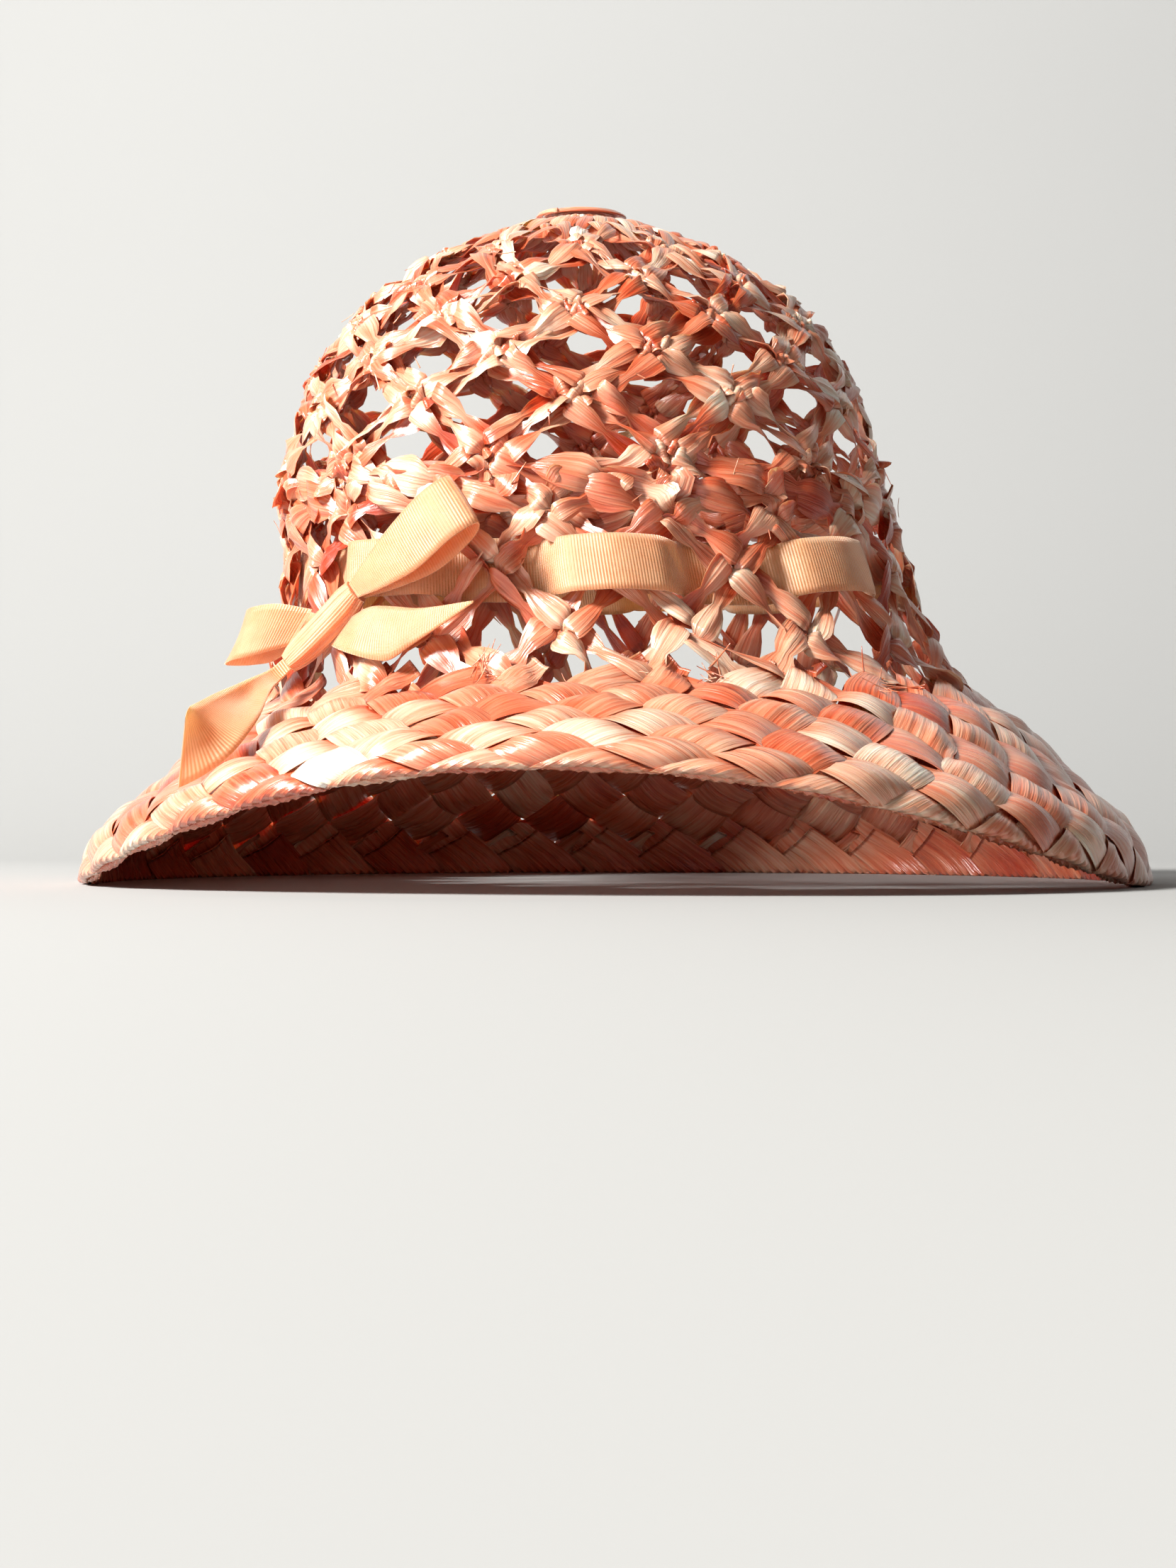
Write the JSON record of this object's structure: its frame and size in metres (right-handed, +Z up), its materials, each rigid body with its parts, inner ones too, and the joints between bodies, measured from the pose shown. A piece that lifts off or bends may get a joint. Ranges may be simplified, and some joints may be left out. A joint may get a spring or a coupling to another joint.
{
  "type": "sun hat",
  "caption": "Plaited straw sun hat with an openwork crown, a close-plaited turned-up brim, and a ribbon woven through the crown and tied in a bow",
  "frame": {"origin": "on the floor under the middle of the hem, which is the middle of the part's box", "axes": "+Z up to the crown's tip, -Y out of the wearer's front, +X to the wearer's left, so the bow is on the -X side"},
  "size_m": [0.2998, 0.3308, 0.193],
  "materials": {
    "straw": "glossy dyed straw, plaited",
    "ribbon": "satin ribbon with fine crosswise ribs"
  },
  "bodies": {
    "root": {"crown": "straw", "brim": "straw", "ribbon_band": "ribbon", "bow_knot": "ribbon", "bow_loop_front": "ribbon", "bow_loop_back": "ribbon", "bow_tail_front": "ribbon", "bow_tail_back": "ribbon"}
  },
  "joints": []
}
